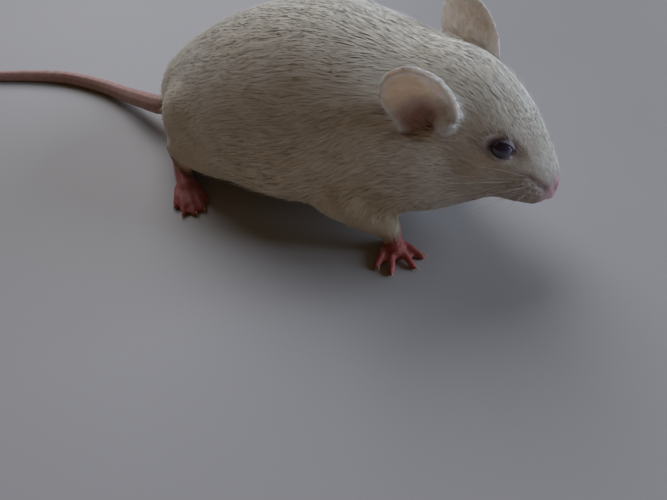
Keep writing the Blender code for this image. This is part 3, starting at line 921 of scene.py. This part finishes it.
def scatter(mesh, weights):
    """Roots spread over the skin, with their normals, zone weights and tints."""
    points, faces = corners(mesh), triangles_of(mesh)
    vertex_normals = normals_of(mesh)
    first, second, third = (points[faces[:, k]] for k in range(3))
    area = np.linalg.norm(np.cross(second - first, third - first), axis=1) / 2 / MM ** 2
    density = fur_density(points, vertex_normals, weights)[faces].mean(axis=1)
    cell = 0.6 * MM
    order = np.lexsort((np.floor(first[:, 1] / cell), np.floor(first[:, 0] / cell)))
    total = np.cumsum((area * density)[order])
    draws = np.random.default_rng(11)
    count = int(total[-1])
    marks = (np.arange(count) + draws.uniform(0, 1, count)) * total[-1] / count
    face = order[np.minimum(np.searchsorted(total, marks), len(total) - 1)]
    a, b = draws.uniform(size=(2, count))
    over = a + b > 1
    a, b = np.where(over, 1 - a, a), np.where(over, 1 - b, b)
    shares = np.stack([1 - a - b, a, b], axis=1)[:, :, None]
    where = faces[face]
    known = (points, vertex_normals, weights, markings(points, vertex_normals, weights))
    roots, normals, weights, colour = ((values[where] * shares).sum(axis=1) for values in known)
    return roots, unit(normals), weights, colour


def lie(roots, normals, weights):
    """The way the hair lies: back from the nose, down the sides, down the legs, out along the ears."""
    behind = in_head(roots)[0]
    side = roots[:, 1] / (18 * MM)
    down = np.stack([-np.ones(len(roots)), 0.25 * side, -0.5 * np.abs(side)], axis=1)
    from_nose = unit(roots - on_head(-2, 0, 0))
    on_face = fade(27, 15, behind)[:, None]
    way = down * (1 - on_face) + from_nose * on_face
    for leg in LEGS:
        foot = leg.replace("leg", "foot")
        pull = group(weights, leg) + group(weights, foot)
        low = fade(13, 4, roots[:, 2])
        sole = middle_of(foot) + np.array([0, 0, -3 * MM])
        way = way + unit(sole - roots) * (pull * low)[:, None] * 1.8
    for name in SIDES:
        from_eye = unit(roots - EYE_CENTRE[name])
        way = way + from_eye * (0.9 * bell(away(roots, EYE_CENTRE[name]), 2.6 * MM))[:, None]
        ear = group(weights, f"ear_{name}")[:, None]
        _, along, _, hind = ear_axes(name)
        across = in_ear(roots, name)[1]
        way = way * (1 - ear) + (along + hind * across[:, None]) * ear * 1.2
    return flat_on(way, normals)


def hair_sizes(roots, weights):
    """Length, width and height of each tuft."""
    behind = in_head(roots)[0]
    head = 0.85 * MM + 2.0 * MM * fade(1.5, 20, behind)
    low = 1.4 * MM + 1.9 * MM * fade(4, 12, roots[:, 2])
    length = by_part(weights, trunk=4.4 * MM, neck=3.7 * MM, face=head, legs=low, ears=0.85 * MM,
                     feet=0.9 * MM, tail=1.2 * MM)
    ears = group(weights, "ears")
    width = (0.12 * MM + 0.15 * MM * fade(0.6, 3.6, length)) * (1 - 0.35 * ears)
    depth = coat_depth(roots, weights) + BARE_DEPTH * ears + BARE_DEPTH * group(weights, "feet")
    return length, width, depth


def fur_tints(colour, weights):
    """Hair has the skin's tint on the body, and is nearer to white on face, ears, feet and tail."""
    take = by_part(weights, body=1, face=0.75, ears=0.55, feet=0.45, tail=0.6)[:, None]
    return np.array(HAIR) * (1 - take) + colour * take


def grown(roots, weights, draws):
    """Length, width and height of each tuft, with some chance, and how much its lock gathers it."""
    count = len(roots)
    length, width, depth = hair_sizes(roots, weights)
    length *= draws.uniform(*LENGTH_RANGE, count)
    height = depth * draws.uniform(*HEIGHT_RANGE, count)
    furry = group(weights, "furred")
    guard = (draws.uniform(size=count) < GUARD_SHARE) & (furry > 0.5) & (in_head(roots)[0] > 3 * MM)
    height = np.where(guard, height + 0.35 * MM + 0.3 * depth, height)
    width = np.where(guard, width * 0.55, width)
    return length, width, height, furry * fade(1.4, 3.4, length) * ~guard


def combed(roots, normals, weights, draws):
    """The way of each tuft, turned a little off the even lie."""
    way = lie(roots, normals, weights)
    across = np.cross(normals, way)
    turn = 0.16 * ripple(roots, 9 * MM, 3) + 0.08 * ripple(roots, 2.5 * MM, 4)
    turn += draws.normal(0, 0.09, len(roots))
    return unit(way * np.cos(turn)[:, None] + across * np.sin(turn)[:, None])


def step(tree, start, way, run, lift):
    """A walk along the skin: its end raised by lift, its end on the skin, and the normal there."""
    place, facing, _ = nearest(tree, start + way * run[:, None])
    return place + facing * lift[:, None], place, facing


def coat(body, weights):
    mesh = body.data
    look = coat_material()
    roots, normals, weights, colour = scatter(mesh, weights)
    draws = np.random.default_rng(23)
    length, width, height, gather = grown(roots, weights, draws)
    way = combed(roots, normals, weights, draws)
    lock = lock_of(roots, group(weights, "furred"))
    apart = roots - roots[lock]
    height *= 1.0 - LOCK_DROP * gather * fade(0.2, 1.1, np.linalg.norm(apart, axis=1))
    tree = tree_of(mesh)
    middle, place, facing = step(tree, roots, way, length * 0.5, height * LIFT)
    tip, _, tip_facing = step(tree, place, flat_on(way, facing), length * 0.5, height)
    pull = (LOCK_PULL * gather)[:, None]
    tip = tip + (tip[lock] + apart * TIPS_APART - tip) * pull
    middle = middle + (middle[lock] + apart * MIDDLES_APART - middle) * pull * 0.6
    for points in (middle, tip):
        points[:, 2] = np.maximum(points[:, 2], LOWEST)
    tone = TONE_MIDDLE + TONE_CHANCE * draws.normal(size=len(roots)) + TONE_DRIFT * ripple(roots, 3 * MM, 8)
    tone = np.clip(tone, 0, 1)
    tufts = {"roots": roots - normals * 0.08 * MM, "middle": middle, "tip": tip, "normals": normals,
             "facing": unit(facing), "tip_facing": unit(tip_facing), "width": width, "tone": tone,
             "tint": fur_tints(colour, weights)}
    for name, chosen in coat_pieces(roots, weights):
        place = unwrap(name, roots[chosen], normals[chosen])
        build_tufts(name, {key: values[chosen] for key, values in tufts.items()}, place, look)


def lock_of(roots, furry):
    """For each tuft, the one at the heart of its lock."""
    hearts = np.arange(0, len(roots), TUFTS_PER_LOCK)
    tree = KDTree(len(hearts))
    for heart in hearts:
        tree.insert(roots[heart], int(heart))
    tree.balance()
    return np.array([tree.find(root)[1] if fur > 0.3 else index
                     for index, (root, fur) in enumerate(zip(roots, furry))])


def coat_pieces(roots, weights):
    """The coat by part of the body, left and right apart, with the trunk in three lengths."""
    zone = np.array(ZONES)[np.argmax(weights, axis=1)]
    hand = np.where(roots[:, 1] > 0, "left", "right")
    third = np.clip((roots[:, 0] - TRUNK_MIDDLE[0]) / TRUNK_LENGTH * 3 + 1.5, 0, 2.99).astype(int)
    length = np.array(["hind", "mid", "fore"])[third]
    part_of = {"head": "head", "nose": "head", "neck": "neck"} | {name: "hind" for name in TAIL}
    labels = []
    for name, side, stretch in zip(zone, hand, length):
        part = stretch if name == "trunk" else part_of.get(name)
        labels.append(f"coat_{part}_{side}" if part else "coat_" + name.replace("foot", "leg"))
    labels = np.array(labels)
    return [(label, np.nonzero(labels == label)[0]) for label in sorted(set(labels))]


def unwrap(name, roots, normals):
    """Each root's place on the map: round and along the trunk, head or leg, or over the ear."""
    if "ear" in name:
        side = name.split("_")[-1]
        share, across, _ = in_ear(roots, side)
        around, along = across + np.where(inside_ear(normals, side) > 0.5, 3.0, 0.0), share
    elif "head" in name:
        behind, out, up = in_head(roots)
        around, along = np.arctan2(out, up + 1 * MM), behind
    elif "leg" in name:
        centre = middle_of(name.replace("coat_", ""))
        around, along = np.arctan2(roots[:, 1] - centre[1], roots[:, 0] - centre[0]), roots[:, 2]
    else:
        around, along = np.arctan2(roots[:, 1], roots[:, 2] - TRUNK_MIDDLE[2] + 4 * MM), roots[:, 0]
    place = np.stack([around, along], axis=1)
    low, high = place.min(axis=0), place.max(axis=0)
    return PATCH + (place - low) / (high - low) * (1 - 2 * PATCH)


TUFT_FACES = np.array([(0, 1, 2)]
                      + [face for k in range(3) for j in [(k + 1) % 3]
                         for face in ((j, k, 3 + k), (3 + j, j, 3 + k), (3 + j, 3 + k, 6))])
TUFT_PATCH = np.array([(-1, -1), (0, -0.6), (1, -1), (-1, 0.1), (0, 0.3), (1, 0.1), (0, 1)]) * PATCH / 2


TUFT_POINTS = len(TUFT_PATCH)
TUFT_THICK = (1.0, 0.85)  # at the root and at the bend, as shares of the width
TUFT_WIDE, TUFT_HIGH = 0.5, 0.13  # half sizes of the blade's section, by its width


def build_tufts(name, tufts, place, look):
    """Each tuft is a closed three-sided blade with a bend half way."""
    count = len(place)
    roots, middle, tip, width = (tufts[key] for key in ("roots", "middle", "tip", "width"))
    points = np.empty((count, TUFT_POINTS, 3))
    shading = np.empty((count, TUFT_POINTS, 3))
    rings = ((roots, middle - roots, tufts["normals"]), (middle, tip - roots, tufts["facing"]))
    for ring, (centre, way, facing) in enumerate(rings):
        side = unit(np.cross(way, tufts["normals"]))
        rise = unit(np.cross(side, way))
        for k in range(3):
            angle = math.pi / 2 + 2 * math.pi * k / 3
            outward = side * math.cos(angle) + rise * math.sin(angle)
            flat = side * (TUFT_WIDE * math.cos(angle)) + rise * (TUFT_HIGH * math.sin(angle))
            points[:, ring * 3 + k] = centre + flat * (width * TUFT_THICK[ring])[:, None]
            shading[:, ring * 3 + k] = unit(facing * SOFTNESS + outward * (1 - SOFTNESS))
    points[:, -1] = tip
    shading[:, -1] = tufts["tip_facing"]
    faces = (TUFT_FACES[None] + TUFT_POINTS * np.arange(count)[:, None, None]).reshape(-1, 3)
    mesh = mesh_of(name, points.reshape(-1, 3), faces)
    store(mesh, "tone", np.repeat(tufts["tone"], TUFT_POINTS))
    store_colour(mesh, "tint", np.repeat(tufts["tint"], TUFT_POINTS, axis=0))
    layer = mesh.uv_layers.new(name="OFBake")
    spots = (place[:, None] + TUFT_PATCH[None]).reshape(-1, 2)
    layer.uv.foreach_set("vector", spots[faces.ravel()].astype(np.float32).ravel())
    piece_of(name, mesh, look)
    mesh.normals_split_custom_set_from_vertices(shading.reshape(-1, 3).astype(np.float32))


# ---- eyes, claws, whiskers
CORNEA_RISE = 0.035
ASKEW = [0.13, 0.21, 0.97]  # no thread runs this way
UPRIGHT = np.array([0, 0, 1])
TOES = {"forefoot": 4, "hindfoot": 5}
CLAW_RADIUS = 0.18 * MM
CLAW_STEPS = (0.0, 0.35, 0.68, 1.0)
THREAD_STEPS = 9
BROW_WHISKERS = ((4.2, 4.3, 0.8), (4.6, 3.9, 0.6))  # root out and up, and how steeply it rises


def eyes():
    shine = eye_material()
    for side in SIDES:
        bm = bmesh.new()
        bmesh.ops.create_uvsphere(bm, u_segments=48, v_segments=32, radius=EYE_RADIUS)
        out = eye_axes(side)[0]
        points = np.array([vert.co for vert in bm.verts])
        bulge = 1.0 + CORNEA_RISE * smoothstep(0.6, 1.0, points @ out / EYE_RADIUS)
        for vert, grow in zip(bm.verts, bulge):
            vert.co = Vector(EYE_CENTRE[side]) + vert.co * grow
        name = f"eyeball_{side}"
        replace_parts(piece_of(name, mesh_from(bm, name), shine), f"eye_{side}")


def tapered(name, lines, radii, sides, look):
    """Closed round tapering threads through lines of points, joined in one piece."""
    bm = bmesh.new()
    for line, radius in zip(lines, radii):
        last = len(line) - 1
        rings = []
        for i, centre in enumerate(line[:-1]):
            along = unit(line[i + 1] - line[max(i - 1, 0)])
            side = unit(np.cross(along, ASKEW))
            rise = np.cross(side, along)
            size = radius * (1 - i / last) ** 0.8
            turns = [2 * math.pi * k / sides for k in range(sides)]
            spokes = [side * math.cos(turn) + rise * math.sin(turn) for turn in turns]
            rings.append([bm.verts.new(centre + spoke * size) for spoke in spokes])
        tip = bm.verts.new(line[-1])
        bm.faces.new(rings[0][::-1])
        for lower, upper in zip(rings, rings[1:]):
            for k in range(sides):
                bm.faces.new((lower[k], lower[(k + 1) % sides], upper[(k + 1) % sides], upper[k]))
        for k in range(sides):
            bm.faces.new((rings[-1][k], rings[-1][(k + 1) % sides], tip))
    bmesh.ops.recalc_face_normals(bm, faces=bm.faces)
    return piece_of(name, mesh_from(bm, name), look)


def toe_tips(foot, toes):
    """The ends of a foot's toes, and the way that each one points."""
    points = corners(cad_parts[foot].data)
    ground = points[points[:, 2] < 1.6 * MM]
    top = points[points[:, 2] > points[:, 2].max() - 1.5 * MM].mean(axis=0)
    reach = away(ground[:, :2], top[:2])
    tips = []
    for index in np.argsort(-reach):
        place = ground[index]
        beside = reach[away(ground[:, :2], place[:2]) < 1.0 * MM]
        clear = all(np.linalg.norm(place[:2] - other[:2]) > 0.8 * MM for other in tips)
        if clear and reach[index] >= beside.max() and len(tips) < toes:
            tips.append(place)
    centre = np.mean(tips, axis=0) * 0.35 + top * 0.65
    return [(tip, unit((tip - centre) * [1, 1, 0])) for tip in tips]


def claws():
    look = claw_material()
    for foot in FEET:
        lines = []
        for tip, way in toe_tips(foot, TOES[foot.split("_")[0]]):
            start = np.array([tip[0], tip[1], 0.58 * MM]) - way * 0.50 * MM
            lines.append([start + (way * 0.98 * t + UPRIGHT * (0.12 * t - 0.56 * t * t)) * MM
                          for t in CLAW_STEPS])
        tapered(f"claws_{foot}", lines, [CLAW_RADIUS] * len(lines), 8, look)


def whiskers(body):
    look = whisker_material()
    tree = tree_of(body.data)
    draws = np.random.default_rng(5)
    for label, side in SIDES.items():
        lines, radii = [], []
        for index, want in enumerate(whisker_roots(side)):
            row, column = divmod(index, WHISKER_COLUMNS)
            spread = column / (WHISKER_COLUMNS - 1)
            start, facing = tree.find_nearest(Vector(want))[:2]
            start = np.array(start) - np.array(facing) * 0.15 * MM
            size = (4.0 + 8.5 * spread + draws.uniform(-1, 1)) * MM
            back = 0.10 + 0.62 * spread
            way = unit(LEFT * side - AHEAD * back + UP * (0.46 - 0.30 * row + draws.uniform(-0.08, 0.08)))
            sag = np.array([-0.22, 0.0, -0.10]) * size
            steps = [t / THREAD_STEPS for t in range(THREAD_STEPS + 1)]
            lines.append([start + way * size * t + sag * t * t for t in steps])
            radii.append((0.013 + 0.010 * spread) * MM)
        for out, up, rise in BROW_WHISKERS:
            start = tree.find_nearest(Vector(on_head(8.6, out, up, side)))[0]
            way = unit(LEFT * side * 0.8 - AHEAD * 0.35 + UP * rise)
            lines.append([np.array(start) + way * 7 * MM * t / THREAD_STEPS for t in range(THREAD_STEPS + 1)])
            radii.append(0.017 * MM)
        tapered(f"whiskers_{label}", lines, radii, 5, look)


# ---- floor, light, camera
CAMERA_TURN = math.radians(27)
CAMERA_PITCH = math.radians(45)
CAMERA_AT = Vector(NOSE_TIP) + Vector((1.0, -74.7, 54.0)) * MM
CAMERA_LENS = 31.52
LIT_PLACE = Vector((30, 0, 12)) * MM  # where the lamps point
SKY = (1.0, 0.66, 0.25, 1)
SKY_STRENGTH = 0.038
FLOOR_HALF = 1.5
FLOOR_DROP = 0.02 * MM  # keeps the floor clear of the flat soles


def floor():
    look, tree, shader = material("floor", Roughness=0.5, Specular_IOR_Level=0.3)
    paint(tree, shader, noise(tree, 60 * MM, 2.0), *FLOOR_TONES)
    bm = bmesh.new()
    bmesh.ops.create_grid(bm, x_segments=2, y_segments=2, size=FLOOR_HALF)
    ground = put("floor", mesh_from(bm, "floor"))
    ground.data.materials.append(look)
    ground.location.z = -FLOOR_DROP


def area_light(name, way, distance, size, power, colour):
    data = bpy.data.lights.new(name, "AREA")
    data.shape = "SQUARE"
    data.size = size
    data.energy = power
    data.color = colour
    lamp = put(name, data)
    lamp.location = LIT_PLACE + Vector(way).normalized() * distance
    lamp.rotation_euler = (LIT_PLACE - lamp.location).to_track_quat("-Z", "Y").to_euler()
    return lamp


def lights():
    area_light("window", (-0.62, 0.60, 0.78), 1.3, 1.0, 11.2, (0.95, 0.97, 1.0))
    area_light("doorway", (1.0, 0.56, 0.44), 0.9, 0.5, 6.0, (0.74, 0.86, 1.0))
    bounce = area_light("bounce", (0.2, -0.9, 0.2), 0.8, 0.7, 0.30, (1.0, 0.50, 0.12))
    bounce.visible_glossy = False
    world = bpy.data.worlds.new("studio")
    world.use_nodes = True
    sky = world.node_tree.nodes["Background"]
    sky.inputs["Color"].default_value = SKY
    sky.inputs["Strength"].default_value = SKY_STRENGTH
    bpy.context.scene.world = world


def camera():
    level = math.cos(CAMERA_PITCH)
    back = Vector((math.sin(CAMERA_TURN) * level, -math.cos(CAMERA_TURN) * level, math.sin(CAMERA_PITCH)))
    data = bpy.data.cameras.new("camera")
    data.lens = CAMERA_LENS
    data.sensor_width = 36
    data.clip_start = 0.002
    data.clip_end = 10
    made = put("camera", data)
    made.location = CAMERA_AT
    made.rotation_mode = "QUATERNION"
    made.rotation_quaternion = (-back).to_track_quat("-Z", "Y")
    bpy.context.scene.camera = made


camera()
floor()
lights()
bpy.context.scene.view_settings.view_transform = "Standard"
skin_piece, zone_share = skin()
coat(skin_piece, zone_share)
eyes()
claws()
whiskers(skin_piece)
